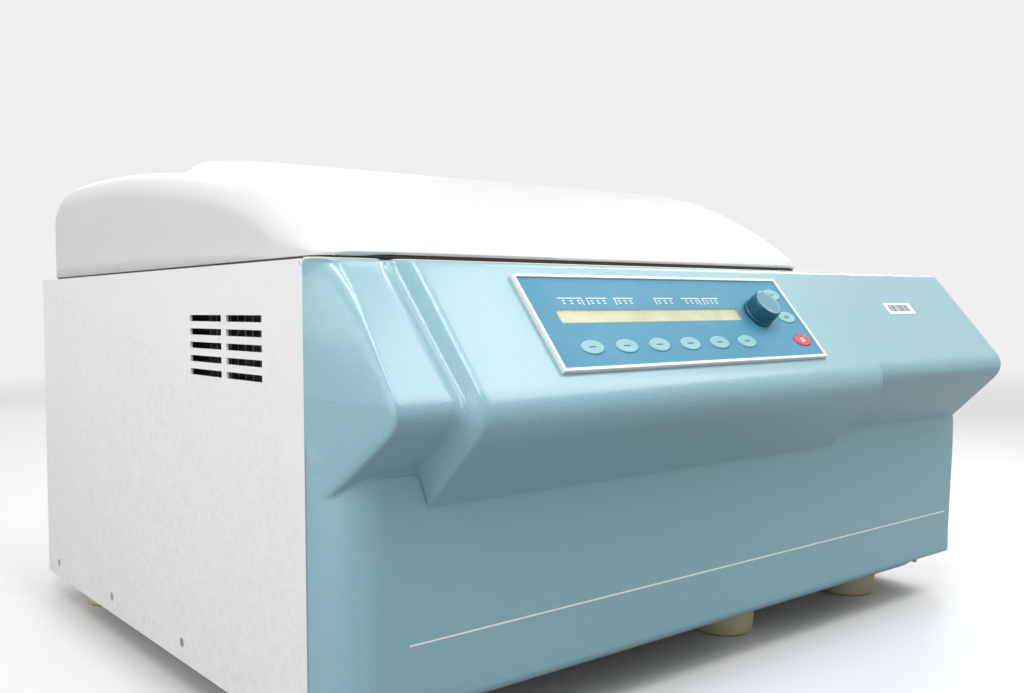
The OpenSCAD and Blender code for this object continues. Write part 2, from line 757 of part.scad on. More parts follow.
module strut_bracket() {
  color([0.6, 0.61, 0.63]) {
    block([-in_x + 2, 258, pan_z1], [-in_x + 4, 294, 186]);
    rod_x(-in_x + 3, lift_x + 7, lift_l[0], lift_l[1], 4);
  }
}

module lock_housing() {
  color([0.3, 0.31, 0.33]) for (x = strike_x) difference() {
    block([x - 33, lock_y - 14, 318], [x - 9, lock_y + 14, deck_lo]);
    rod_x(x - 40, x, lock_y, 332, 4.05);
  }
}

module lock_bar() {
  color([0.75, 0.76, 0.78]) {
    for (x = strike_x) {
      rod_x(x - 57, x - 8, lock_y, 332, 4);
      block([x - 57, lock_y - 4.5, 304], [x - 49, lock_y + 4.5, 337]);
    }
    block([strike_x[0] - 57, lock_y - 3, 304], [strike_x[1] - 49, lock_y + 3, 310]);
  }
}

module lid_buffers() {
  color([0.07, 0.07, 0.08]) {
    for (x = [-290, 115]) translate([x, -259, deck_z]) cylinder(r = 3, h = 4);
    for (y = [-120, 180]) translate([-375.2, y, deck_z]) cylinder(r = 1.7, h = 4);
  }
}

base_plate();
left_side_panel();
right_side_panel();
rear_panel();
top_deck();
front_bulkhead();
front_fascia();
control_bezel();
control_plate();
display_window();
display_module();
control_board();
encoder();
knob();
program_key();
temperature_key();
brake_key();
force_key();
speed_key();
time_key();
open_key();
start_key();
stop_key();
feet();
foot_bolts();
panel_screws();
chamber_bowl();
chamber_insulation();
refrigerant_lines();
guard_ring();
chamber_seal();
motor_carrier();
motor_housing();
motor_stator();
rubber_mounts();
compressor();
condenser();
fan_shroud();
fan_rotor();
power_unit();
mains_inlet();
rocker();
deck_hinges();
lock_housing();
lock_bar();
lid_buffers();
strut_bracket();
lid_shell();
lid_liner();
lid_foam();
lid_hinges();
strut_tube();
strut_rod();
rotor_shaft();
rotor_cross();
rotor_nut();
bucket_1();
bucket_2();
bucket_3();
bucket_4();
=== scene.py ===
import json
import math
import random

import bmesh
import bpy
import numpy as np
from mathutils import Matrix, Vector


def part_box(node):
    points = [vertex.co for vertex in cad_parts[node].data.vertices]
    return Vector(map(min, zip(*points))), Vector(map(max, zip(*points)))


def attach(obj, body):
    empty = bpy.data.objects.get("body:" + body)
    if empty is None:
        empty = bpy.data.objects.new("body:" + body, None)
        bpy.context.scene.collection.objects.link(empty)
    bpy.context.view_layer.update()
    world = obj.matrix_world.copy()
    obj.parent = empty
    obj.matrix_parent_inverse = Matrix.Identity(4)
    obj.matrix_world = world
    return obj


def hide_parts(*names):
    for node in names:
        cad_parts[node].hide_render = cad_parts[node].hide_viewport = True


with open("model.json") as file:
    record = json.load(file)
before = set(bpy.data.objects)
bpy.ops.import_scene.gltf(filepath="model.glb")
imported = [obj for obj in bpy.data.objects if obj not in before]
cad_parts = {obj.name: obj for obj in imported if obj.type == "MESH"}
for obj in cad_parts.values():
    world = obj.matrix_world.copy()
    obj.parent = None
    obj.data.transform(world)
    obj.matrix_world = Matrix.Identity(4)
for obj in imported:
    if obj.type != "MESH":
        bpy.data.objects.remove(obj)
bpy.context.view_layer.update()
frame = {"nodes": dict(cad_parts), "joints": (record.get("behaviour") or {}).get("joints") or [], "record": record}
MM = 0.001  # lengths below are millimetres in the CAD frame; make() turns them into metres
rng = random.Random(7)


def edges_of(node):
    """Lowest and highest corner of a CAD node, in millimetres."""
    lo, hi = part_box(node)
    return [v / MM for v in lo], [v / MM for v in hi]


# ---------------------------------------------------------------- materials


def nodes_for(name):
    mat = bpy.data.materials.new(name)
    mat.use_nodes = True
    tree = mat.node_tree
    tree.nodes.clear()
    return mat, tree


GLOSS = 0.29  # a satin finish varies only above this roughness, or it renders in patches


def finish(name, color, rough=0.4, metal=0.0, tone=0.05, tone_scale=7.0, rough_var=0.08,
           bump=0.2, bump_scale=1500.0, bump_depth=0.0001, stretch=(1, 1, 1),
           coat=0.0, coat_rough=0.12, corner_shade=0.3, corner_shade_reach=0.012, corner_shade_color=None,
           wear=0.0, wear_color=None, scratch=0.0, alpha=1.0, emit=0.0, sheen=0.0):
    """A layered procedural finish: tone variation, painted shade in corners, worn edges, fine bump."""
    mat, tree = nodes_for(name)
    add = tree.nodes.new
    link = tree.links.new
    out = add("ShaderNodeOutputMaterial")
    bsdf = add("ShaderNodeBsdfPrincipled")
    link(bsdf.outputs[0], out.inputs[0])
    coords = add("ShaderNodeTexCoord")
    stretched = add("ShaderNodeMapping")
    stretched.inputs["Scale"].default_value = stretch
    link(coords.outputs["Object"], stretched.inputs["Vector"])

    def noise(scale, detail, vec=None, fine=0.55):
        n = add("ShaderNodeTexNoise")
        n.inputs["Scale"].default_value = scale
        n.inputs["Detail"].default_value = detail
        n.inputs["Roughness"].default_value = fine
        link(vec or coords.outputs["Object"], n.inputs["Vector"])
        return n.outputs["Fac"]

    def span(value, a, b, c, d):
        m = add("ShaderNodeMapRange")
        m.inputs["From Min"].default_value = a
        m.inputs["From Max"].default_value = b
        m.inputs["To Min"].default_value = c
        m.inputs["To Max"].default_value = d
        link(value, m.inputs["Value"])
        return m.outputs["Result"]

    def combine(op, a, b):
        m = add("ShaderNodeMath")
        m.operation = op
        for i, v in enumerate((a, b)):
            if isinstance(v, (int, float)):
                m.inputs[i].default_value = v
            else:
                link(v, m.inputs[i])
        return m.outputs[0]

    def mix(fac, a, b):
        m = add("ShaderNodeMix")
        m.data_type = "RGBA"
        for sock, v in ((m.inputs[0], fac), (m.inputs[6], a), (m.inputs[7], b)):
            if isinstance(v, (int, float)):
                sock.default_value = v
            elif isinstance(v, (tuple, list)):
                sock.default_value = (*v[:3], 1.0)
            else:
                link(v, sock)
        return m.outputs[2]

    dark = [c * (1 - tone) for c in color]
    light = [min(1.0, c * (1 + tone)) for c in color]
    col = mix(span(noise(tone_scale, 5), 0.32, 0.68, 0, 1), dark, light)
    specks = span(noise(tone_scale * 14, 4), 0.35, 0.7, 0, 1)
    col = mix(combine("MULTIPLY", specks, tone * 2), col, [c * 0.8 for c in color])
    if wear > 0:
        geo = add("ShaderNodeNewGeometry")
        point = span(geo.outputs["Pointiness"], 0.53, 0.62, 0, wear)
        spots = span(noise(160, 4), 0.42, 0.62, 0, 1)
        col = mix(combine("MULTIPLY", point, spots), col,
                  wear_color or [min(1, c * 1.25 + 0.05) for c in color])
    # painted shade: the colour is darkened where ambient occlusion finds nearby surfaces, in corners and hollows,
    # broken up by noise
    if corner_shade > 0:
        ao = add("ShaderNodeAmbientOcclusion")
        ao.samples = 4
        ao.inputs["Distance"].default_value = corner_shade_reach
        shade = span(ao.outputs["AO"], 0.25, 0.95, corner_shade, 0)
        shade = combine("MULTIPLY", shade, span(noise(45, 5), 0.3, 0.65, 0.35, 1))
        col = mix(shade, col, corner_shade_color or [c * 0.35 for c in color])
    lines = None
    if scratch > 0:
        drawn = add("ShaderNodeMapping")
        drawn.inputs["Rotation"].default_value = (0.2, 0.5, 0.7)
        drawn.inputs["Scale"].default_value = (9, 260, 9)
        link(coords.outputs["Object"], drawn.inputs["Vector"])
        lines = span(noise(3.0, 3, drawn.outputs[0], 0.7), 0.70, 0.76, 0, scratch)
        lines = combine("MULTIPLY", lines, span(noise(18, 2), 0.5, 0.62, 0, 1))
        col = mix(lines, col, [min(1, c * 1.35 + 0.08) for c in color])
    link(col, bsdf.inputs["Base Color"])
    smoothest = 0.03 if rough < GLOSS else GLOSS
    r = span(noise(tone_scale * 5, 5), 0.3, 0.7, max(smoothest, rough - rough_var),
             max(rough, smoothest) + rough_var)
    if lines is not None:
        r = combine("ADD", r, combine("MULTIPLY", lines, 0.25))
    link(r, bsdf.inputs["Roughness"])
    bsdf.inputs["Metallic"].default_value = metal
    bsdf.inputs["Coat Weight"].default_value = coat
    bsdf.inputs["Coat Roughness"].default_value = coat_rough
    if alpha < 1:
        bsdf.inputs["Alpha"].default_value = alpha
    if emit > 0:
        link(col, bsdf.inputs["Emission Color"])
        bsdf.inputs["Emission Strength"].default_value = emit
    if sheen > 0:
        bsdf.inputs["Sheen Weight"].default_value = sheen
    if bump > 0:
        b = add("ShaderNodeBump")
        b.inputs["Strength"].default_value = bump
        b.inputs["Distance"].default_value = bump_depth
        link(noise(bump_scale, 4, stretched.outputs[0]), b.inputs["Height"])
        link(b.outputs[0], bsdf.inputs["Normal"])
    return mat


M = {
    "white_moulding": finish("white_moulding", (0.63, 0.63, 0.63), 0.40, rough_var=0.03,
                             tone=0.01, bump=0.12, bump_scale=900, coat=0.1,
                             coat_rough=0.25, corner_shade=0.12),
    "bezel_white": finish("bezel_white", (0.82, 0.83, 0.82), 0.38, tone=0.02, bump=0.1,
                          corner_shade=0.3, corner_shade_reach=0.004),
    "fascia_blue": finish("fascia_blue", (0.225, 0.43, 0.49), 0.40, rough_var=0.04,
                          tone=0.03, tone_scale=5, bump=0.9, bump_scale=480,
                          bump_depth=0.0005, coat=0.9, coat_rough=0.2, corner_shade=0.22),
    "white_paint": finish("white_paint", (0.79, 0.79, 0.79), 0.46, rough_var=0.015,
                          tone=0.01, bump=0.08, bump_scale=900, bump_depth=0.0001,
                          corner_shade=0.2, wear=0.2, wear_color=(0.5, 0.5, 0.5)),
    "aged_white": finish("aged_white", (0.80, 0.76, 0.62), 0.46, tone=0.04, bump=0.3,
                         bump_scale=1100, bump_depth=0.00012, corner_shade=0.3),
    "panel_blue": finish("panel_blue", (0.047, 0.25, 0.38), 0.55, tone=0.05, bump=0.25,
                         bump_scale=2600, corner_shade=0.45, corner_shade_reach=0.006),
    "key_aqua": finish("key_aqua", (0.22, 0.47, 0.52), 0.5, tone=0.04, bump=0.2,
                       bump_scale=2600, corner_shade=0.35, corner_shade_reach=0.002),
    "key_red": finish("key_red", (0.58, 0.05, 0.09), 0.5, tone=0.05, bump=0.2,
                      bump_scale=2600, corner_shade=0.3, corner_shade_reach=0.002),
    "display_clear": finish("display_clear", (0.93, 0.92, 0.80), 0.08, tone=0.01, bump=0.02,
                            corner_shade=0.1, alpha=0.28, coat=0.5),
    # the display face emits a faint light of its own colour: a painted glow
    "display_face": finish("display_face", (0.70, 0.72, 0.36), 0.5, tone=0.05,
                           tone_scale=30, bump=0.1, corner_shade=0.5, corner_shade_reach=0.006,
                           emit=0.12),
    "knob_blue": finish("knob_blue", (0.001, 0.085, 0.15), 0.34, tone=0.08, bump=0.15,
                        bump_scale=1800, coat=0.1, corner_shade=0.4, corner_shade_reach=0.004),
    # lighter copy of knob_blue for the knob's top faces: painted light where the light falls on the top
    "knob_lit_top": finish("knob_lit_top", (0.08, 0.27, 0.36), 0.36, tone=0.04, bump=0.25,
                       bump_scale=2200, coat=0.3, corner_shade=0.2, corner_shade_reach=0.003),
    "ink_white": finish("ink_white", (0.78, 0.85, 0.86), 0.5, tone=0.06, bump=0.1,
                        corner_shade=0),
    "ink_dark": finish("ink_dark", (0.03, 0.08, 0.11), 0.5, tone=0.06, bump=0.1, corner_shade=0),
    "board_green": finish("board_green", (0.03, 0.20, 0.09), 0.4, tone=0.1, corner_shade=0.3),
    "dark_metal": finish("dark_metal", (0.055, 0.058, 0.062), 0.45, metal=0.25, tone=0.1,
                         bump=0.35, bump_scale=900, corner_shade=0.3, wear=0.5,
                         wear_color=(0.3, 0.3, 0.3), scratch=0.3),
    "zinc_steel": finish("zinc_steel", (0.55, 0.56, 0.57), 0.36, metal=0.9, tone=0.06,
                         tone_scale=30, bump=0.15, bump_scale=500, corner_shade=0.3,
                         scratch=0.12),
    "stainless": finish("stainless", (0.62, 0.63, 0.64), 0.33, metal=1.0, tone=0.02,
                        rough_var=0.03, bump=0.12, bump_scale=260, stretch=(1, 1, 14),
                        corner_shade=0.2, scratch=0.06),
    "polished_steel": finish("polished_steel", (0.68, 0.69, 0.70), 0.14, metal=1.0,
                             tone=0.03, bump=0.1, corner_shade=0.2, scratch=0.4),
    "cast_alloy": finish("cast_alloy", (0.58, 0.59, 0.61), 0.34, metal=0.95, tone=0.05,
                         bump=0.3, bump_scale=700, corner_shade=0.35, wear=0.4, scratch=0.4),
    "copper": finish("copper", (0.62, 0.28, 0.14), 0.33, metal=0.95, tone=0.14,
                     tone_scale=22, bump=0.2, corner_shade=0.4, corner_shade_color=(0.12, 0.10, 0.06)),
    "black_rubber": finish("black_rubber", (0.018, 0.018, 0.019), 0.62, tone=0.15,
                           bump=0.4, bump_scale=1300, corner_shade=0.2, sheen=0.1),
    "cream_rubber": finish("cream_rubber", (0.60, 0.55, 0.36), 0.62, tone=0.10,
                           tone_scale=25, bump=0.4, bump_scale=1000, corner_shade=0.5),
    "foam": finish("foam", (0.42, 0.38, 0.27), 0.8, tone=0.15, tone_scale=40, bump=0.8,
                   bump_scale=350, bump_depth=0.0006, corner_shade=0.4),
    "black_plastic": finish("black_plastic", (0.022, 0.022, 0.025), 0.42, tone=0.12,
                            bump=0.35, bump_scale=1200, corner_shade=0.2, wear=0.3,
                            wear_color=(0.12, 0.12, 0.12)),
}
SLOT_FINISH = {"blue_moulding": "fascia_blue", "copper_winding": "copper"}  # others match

# ---------------------------------------------------------------- mesh helpers


def make(name, verts, faces, mats, smooth_deg=35, inside=None):
    """A mesh object; for an open surface, inside is a point its faces turn away from."""
    me = bpy.data.meshes.new(name)
    me.from_pydata([tuple(np.asarray(v, float) * MM) for v in verts], [], faces)
    ob = bpy.data.objects.new(name, me)
    bpy.context.scene.collection.objects.link(ob)
    for m in mats if isinstance(mats, list) else [mats]:
        me.materials.append(m)
    bm = bmesh.new()
    bm.from_mesh(me)
    bmesh.ops.remove_doubles(bm, verts=bm.verts, dist=1e-6)
    bmesh.ops.dissolve_degenerate(bm, edges=bm.edges, dist=1e-7)
    bmesh.ops.recalc_face_normals(bm, faces=bm.faces)
    if inside is not None:
        core = Vector(inside) * MM
        facing = sum(f.calc_area() * f.normal.dot(f.calc_center_median() - core)
                     for f in bm.faces)
        if facing < 0:
            bmesh.ops.reverse_faces(bm, faces=bm.faces)
    for f in bm.faces:
        f.smooth = True
    for e in bm.edges:
        if len(e.link_faces) == 2 and e.calc_face_angle() > math.radians(smooth_deg):
            e.smooth = False
    bm.to_mesh(me)
    bm.free()
    return ob


def grid(rows, close=False):
    """Faces and vertices of a lofted surface through rows of equal length."""
    n, m = len(rows), len(rows[0])
    verts = [p for r in rows for p in r]
    faces = []
    for i in range(n - 1):
        for j in range(m if close else m - 1):
            k = (j + 1) % m
            faces.append((i * m + j, i * m + k, (i + 1) * m + k, (i + 1) * m + j))
    return verts, faces


def ride(ob, body, slot, *replaced):
    """Puts a piece on its body and hides the CAD nodes it stands for."""
    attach(ob, body)
    if replaced:
        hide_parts(*replaced)


def solidify(ob, thick):
    """Wall thickness, grown inwards from the outer surface."""
    m = ob.modifiers.new("wall", "SOLIDIFY")
    m.thickness = thick * MM
    m.offset = -1.0
    m.use_even_offset = False
    m.use_quality_normals = True


def bevel(ob, width):
    m = ob.modifiers.new("edge", "BEVEL")
    m.width = width * MM
    m.segments = 2
    m.limit_method = "ANGLE"
    m.angle_limit = math.radians(30)
    m.use_clamp_overlap = True
    m.harden_normals = False


def softplus(v, k):
    """0 below zero and v above it, with the corner rounded over about k."""
    v = v / k
    return k * (v if v > 30 else math.log1p(math.exp(v)))


def ramp(x, a, b, k):
    """0 before a, 1 after b, straight between, with corners rounded over about k."""
    return (softplus(x - a, k) - softplus(x - b, k)) / (b - a)


def step(x, a, b):
    """0 before a, 1 after b, smooth between."""
    t = min(1.0, max(0.0, (x - a) / (b - a)))
    return t * t * (3 - 2 * t)


def fillet(p0, p1, p2, r, n):
    """Points of the arc of radius r that rounds the corner p1 between p0 and p2."""
    a = np.array(p0) - p1
    b = np.array(p2) - p1
    la, lb = np.linalg.norm(a), np.linalg.norm(b)
    a, b = a / la, b / lb
    half = math.acos(max(-1, min(1, float(a @ b)))) / 2
    d = min(r / math.tan(half), 0.48 * la, 0.48 * lb)
    rr = d * math.tan(half)
    c = np.array(p1) + (a + b) / np.linalg.norm(a + b) * (rr / math.sin(half))
    s = np.array(p1) + a * d - c
    e = np.array(p1) + b * d - c
    ang = math.acos(max(-1, min(1, float(s @ e) / (rr * rr))))
    out = []
    for i in range(n + 1):
        t = i / n
        out.append(c + (math.sin((1 - t) * ang) * s + math.sin(t * ang) * e) / math.sin(ang))
    return out


def curve(table, y):
    """Smooth curve through (y, z) points."""
    ys = [p[0] for p in table]
    zs = [p[1] for p in table]
    if y <= ys[0]:
        return zs[0]
    if y >= ys[-1]:
        return zs[-1]
    i = max(j for j in range(len(ys) - 1) if ys[j] <= y)

    def slope(j):
        if j == 0:
            return (zs[1] - zs[0]) / (ys[1] - ys[0])
        if j == len(ys) - 1:
            return (zs[-1] - zs[-2]) / (ys[-1] - ys[-2])
        return (zs[j + 1] - zs[j - 1]) / (ys[j + 1] - ys[j - 1])

    h = ys[i + 1] - ys[i]
    t = (y - ys[i]) / h
    return ((2 * t**3 - 3 * t**2 + 1) * zs[i] + (t**3 - 2 * t**2 + t) * h * slope(i)
            + (-2 * t**3 + 3 * t**2) * zs[i + 1] + (t**3 - t**2) * h * slope(i + 1))


# ---------------------------------------------------------------- fascia

SLOPE = math.radians(49.8)  # of the operating face, from the level
CA, SA = math.cos(SLOPE), math.sin(SLOPE)
f_lo, f_hi = edges_of("front_fascia")
HALF_W, SEAM_Y, DECK_Z, LIP_Z = f_hi[0], f_hi[1], f_hi[2], f_lo[2]
TOP_Y, TOP_Z = SEAM_Y - 21.0, DECK_Z - 3.0  # where the sloped face starts, s = 0
WALL_Y = SEAM_Y - 42.5  # the upright front below the nose
STEP_BACK, GROOVE = 6.0, 4.4  # left shoulder behind the console face, groove below it
CONSOLE_RIGHT = 150.0
WALL_R, LIP_R = 34.0, 9.0  # left upright corner, bottom edge
LEDGE = 0.9  # step where the underside meets the upright front


def slope_point(s, h=0.0):
    """(y, z) at a distance s down the sloped face and h out of it."""
    return (TOP_Y - CA * s - SA * h, TOP_Z - SA * s + CA * h)


def on_face(x, s, h=0.0):
    y, z = slope_point(s, h)
    return (x, y, z)


def smooth_max(a, b, k):
    """The larger of two values, with the change between them rounded over k."""
    h = max(k - abs(a - b), 0.0) / k
    return max(a, b) + h * h * k / 4


def smooth_min(a, b, k):
    return -smooth_max(-a, -b, k)


def cut_off(t, r):
    """How far a rounded corner of radius r takes an edge in, t from the end."""
    return r - math.sqrt(max(0.0, r**2 - (r - t) ** 2)) if t < r else 0.0


def under_y(z, nose, root):
    """The underside plane between its nose corner and its root, as y at a height."""
    return root[0] + (nose[0] - root[0]) * (z - root[1]) / (nose[1] - root[1])


# (y, z) of the corners of the underside, before rounding, and how far they are rounded
NOSE, CONSOLE_NOSE = (-357.0, 252.6), (-362.6, 246.6)
LEFT_ROOT, ROOT = (WALL_Y + LEDGE, 207.5), (WALL_Y + LEDGE, 195.6)
CONSOLE_ROOT = (WALL_Y + LEDGE, 182.0)
NOSE_K = {"left": 34.0, "console": 36.0, "right": 26.0}
# width of the left flank at the deck and from the height of the nose down
FLANK_TOP, FLANK_NOSE, FLANK_Z = 20.0, 15.0, 257.0


def down(z):
    """0 at the ridge, 1 at the nose."""
    return min(1.0, max(0.0, (DECK_Z - z) / 92.0))


def set_back(x, z):
    """How far the sloped face lies behind the console face, with the groove beside it."""
    h = down(z)
    a, b = -334.0 + 8 * h, -311.0 + 3 * h
    if x > -295:
        return 0.0
    fall = ramp(x, a - 0.8, a + 8.0, 1.4)
    rise = ramp(x, b - 8.5, b, 1.4)
    return STEP_BACK + GROOVE * fall - (STEP_BACK + GROOVE) * rise


def console_share(x, z):
    """1 on the console, 0 on the shoulder to its left and the section to its right."""
    if x > 0:
        return 1 - ramp(x, CONSOLE_RIGHT, CONSOLE_RIGHT + 1.6, 0.35)
    t = min(1.0, max(0.0, (262 - z) / 70))
    return ramp(x, -327 + 4 * t, -307 - 9 * t, 0.8)


def flank_y(x, z):
    """The slanted left side of the moulding, from the seam to the ridge."""
    t = max(0.0, x + HALF_W)
    zz = max(z, FLANK_Z)
    h = (DECK_Z - zz) / (DECK_Z - FLANK_Z)
    ridge = FLANK_TOP + (FLANK_NOSE - FLANK_TOP) * h
    face = TOP_Y - (TOP_Z - min(zz, TOP_Z)) * CA / SA + STEP_BACK / SA
    return SEAM_Y - t * (SEAM_Y - face) / ridge


def front_y(x, z, base=None):
    """y of the moulded front at a place across and a height; base is its y above the face."""
    t = max(0.0, HALF_W - abs(x))
    share = console_share(x, z)
    slope = TOP_Y - (TOP_Z - z) * CA / SA if base is None else base
    slope += set_back(x, z) / SA * min(1.0, max(0.0, (SEAM_Y - slope) / 22.0))
    side_root = LEFT_ROOT if x < 0 else ROOT
    u0, u1 = under_y(z, NOSE, side_root), under_y(z, CONSOLE_NOSE, CONSOLE_ROOT)
    side_k = NOSE_K["left"] if x < 0 else NOSE_K["right"]
    k = side_k + (NOSE_K["console"] - side_k) * share
    nose = smooth_max(slope, u0 + (u1 - u0) * share, k) if z < 330 else slope
    edge = min(1.0, t / 8)
    if x < 0 and t < 60:
        soft = 3.0 + 7.0 * step(-z, -DECK_Z, -325) + 6.0 * step(-z, -262, -238)
        nose = smooth_max(nose, flank_y(x, z), 0.3 + soft * edge)
    wall = WALL_Y
    if x < 0 and t < WALL_R:
        wall = SEAM_Y + (WALL_Y - SEAM_Y) * math.sqrt(1 - (1 - t / WALL_R) ** 2)
    lip = LIP_Z + LIP_R
    if z < lip:
        wall = wall + LIP_R - math.sqrt(max(0.0, LIP_R**2 - (lip - z) ** 2))
        wall = min(wall, SEAM_Y)
    if z > 210:
        wall = SEAM_Y + (wall - SEAM_Y) * (1 - step(z, 214, 242))
    foot = side_root[1] + (CONSOLE_ROOT[1] - side_root[1]) * share
    if foot - 2.4 < z < 214:
        wall += LEDGE * step(z, foot - 2.4, foot - 0.6)
    y = smooth_min(nose, wall, 0.2 + 1.6 * edge) if z < 236 else nose
    end = 4.0 + 12.0 * step(-z, -190, -50)
    if x > 0 and t < end:
        y += cut_off(t, end)
    return min(y, SEAM_Y)


def front_levels():
    """(y or None, z) of each line running across the front, from the seam down."""
    ridge = TOP_Y + 2.53
    corner = fillet((SEAM_Y, DECK_Z), (ridge, DECK_Z), slope_point(60), 9, 8)
    rows = [(SEAM_Y, DECK_Z), (SEAM_Y - 3, DECK_Z), (SEAM_Y - 7, DECK_Z), (SEAM_Y - 11, DECK_Z)]
    rows += [(float(y), float(z)) for y, z in corner]
    z = rows[-1][1] - 3.0
    for lo, gap in ((276, 4.0), (238, 1.1), (212, 2.6), (174, 0.8), (150, 2.5), (54, 8.0)):
        while z > lo:
            rows.append((None, z))
            z -= gap
    for a in range(0, 91, 10):
        rows.append((None, LIP_Z + LIP_R * (1 - math.sin(math.radians(a)))))
    return rows + [(SEAM_Y - 20, LIP_Z), (SEAM_Y, LIP_Z)]


LEVELS = front_levels()
CORNER_R, LOW_CORNER_R = 5.0, 10.0


def fascia_column(x):
    """The moulding's outer line from the seam over the nose to the bottom lip."""
    out = []
    t = max(0.0, HALF_W - abs(x))
    for i, (base, z) in enumerate(LEVELS):
        if base is not None and z <= LIP_Z:
            y = max(base, front_y(x, LIP_Z)) if i < len(LEVELS) - 1 else SEAM_Y
        else:
            y = front_y(x, z, base)
        z = max(min(z, DECK_Z - cut_off(t, CORNER_R)),
                LIP_Z + cut_off(t, CORNER_R if x < 0 else LOW_CORNER_R))
        if x > 0 and z < LIP_Z + 12:
            z = max(z, LIP_Z + 5.0 * step(x, 289, 300))
        out.append((x, y, z))
    return out


def fascia_stations():
    """Places across the front, close together where the shape turns."""
    left = [0, 0.12, 0.4, 0.9, 1.6, 2.5, 3.6, 5, 6.5, 8, 9.5, 11, 12.2, 13.2, 14.1, 15, 15.9,
            16.8, 17.7, 18.6, 19.5, 20.4, 21.4, 22.6, 24.5, 27, 30, 33, 37, 42]
    right = [0, 0.1, 0.35, 0.8, 1.4, 2.1, 3.0, 4.0, 5.2, 7, 10, 14, 19]
    xs = [-HALF_W + t for t in left] + [HALF_W - t for t in right]
    xs += list(np.arange(-341, -299, 0.75)) + list(np.arange(-297, 146, 9.0))
    xs += list(np.arange(147.5, 154.5, 0.3)) + list(np.arange(158, 286, 9.0))
    xs += list(np.arange(287, 303, 1.5)) + list(np.arange(306, 362, 9.0))
    return sorted(set(round(float(x), 3) for x in xs))


columns = [fascia_column(x) for x in fascia_stations()]
columns.append([(HALF_W, SEAM_Y, z) for _, _, z in columns[-1]])
verts, faces = grid(columns)
fascia = make("fascia_moulding", verts, faces, M["fascia_blue"], 50, inside=(0, -256, 195))
solidify(fascia, 3.0)
ride(fascia, "housing", "blue_moulding", "front_fascia")

# printed stripe
rows = []
STRIPE_Z, STRIPE_H, STRIPE_X0, STRIPE_X1 = 91.7, 1.3, -332.0, 363.0
for i in range(90):
    x = STRIPE_X0 + (STRIPE_X1 - STRIPE_X0) * i / 89
    y = front_y(x, STRIPE_Z)
    z0, z1 = STRIPE_Z - STRIPE_H / 2, STRIPE_Z + STRIPE_H / 2
    rows.append([(x, y + 0.4, z0), (x, y - 0.08, z0), (x, y - 0.15, z0 + 0.2),
                 (x, y - 0.15, z1 - 0.2), (x, y - 0.08, z1), (x, y + 0.4, z1)])
verts, faces = grid(rows, close=True)
ride(make("fascia_stripe", verts, faces, M["bezel_white"]), "housing", "blue_moulding")

# folded front edge of the deck, a hair above the moulding
rows = []
for x in np.linspace(-HALF_W + 2.5, HALF_W - 2.5, 240):
    lead = max(SEAM_Y - 9.4, front_y(x, DECK_Z, SEAM_Y - 11) + 0.6)
    rows.append([(x, SEAM_Y + 3, DECK_Z - 0.6), (x, lead + 0.4, DECK_Z - 0.6),
                 (x, lead, DECK_Z - 0.2), (x, lead, DECK_Z + 0.7),
                 (x, lead + 0.4, DECK_Z + 1.0), (x, SEAM_Y + 3, DECK_Z + 1.0)])
verts, faces = grid(rows, close=True)
faces += [tuple(range(6)), tuple(range(len(verts) - 1, len(verts) - 7, -1))]
ride(make("deck_edge", verts, faces, M["aged_white"]), "housing", "white_paint")

# ---------------------------------------------------------------- lid

l_lo, l_hi = edges_of("lid_shell")
LX0, LX1, LY0, LY1, LZ0, CREST = l_lo[0], l_hi[0], l_lo[1], l_hi[1], l_lo[2], l_hi[2]
# profiles of the lid as (y, height against the crest): its middle, its right part and its
# low left shoulder, then (y, x) of the cove between the shoulder and the dome
MID = [(-262, -101.0), (-240, -89.5), (-207, -73), (-181, -58.8), (-155, -46.4), (-127, -35.6),
       (-99, -26.2), (-68, -18.4), (-38, -13.1), (0, -8.2), (40, -4.2), (80, -1.4), (120, 0),
       (180, 0), (240, -1.8), (300, -5.5), (345, -10)]
FULL = [(-262, -100.6), (-258, -95), (-239, -81), (-220, -68.4), (-200, -57.6),
        (-179, -46.8), (-158, -38.4), (-137, -30), (-114, -24), (-91, -19), (-67, -15),
        (-42, -10.6), (0, -6.4), (40, -3.4), (80, -1.2), (120, 0), (180, 0), (240, -1.8),
        (300, -5.5), (345, -10)]
LOW = [(-262, -101.4), (-240, -92), (-212, -78), (-186, -65), (-160, -54), (-119, -42),
       (-54, -30.5), (17, -20.5), (54, -16.5), (94, -12.8), (137, -9.5), (183, -7.5),
       (232, -6), (285, -6), (345, -8)]
COVE_LEFT = [(-262, -338), (-150, -338), (-50, -338), (40, -336), (80, -330), (110, -318),
             (160, -297), (220, -273), (345, -251)]
COVE_RIGHT = [(-262, -306), (-150, -310), (-50, -315), (40, -319), (80, -316), (110, -305),
              (160, -284), (220, -260), (345, -238)]
REAR_Y, REAR_DROP = 300.0, 40.0
LEFT_R, LEFT_DROP, RIGHT_R, PLAN_R = 27.0, 25.0, 15.0, 13.0


def lid_top(x, y):
    """Height of the lid's skin."""
    side = min(1.0, max(0.0, (x + 300) / 440))
    mid = (1 - side) * curve(MID, y) + side * curve(FULL, y)
    low = curve(LOW, y)
    w = ramp(x, curve(COVE_LEFT, y), curve(COVE_RIGHT, y), 2.4)
    return CREST + low + (mid - low) * w


def rim_z(x):
    """Height of the lid's lower rim, which dips a little at the left."""
    return LZ0 - 1.6 * (1 - step(x, -352, -318))


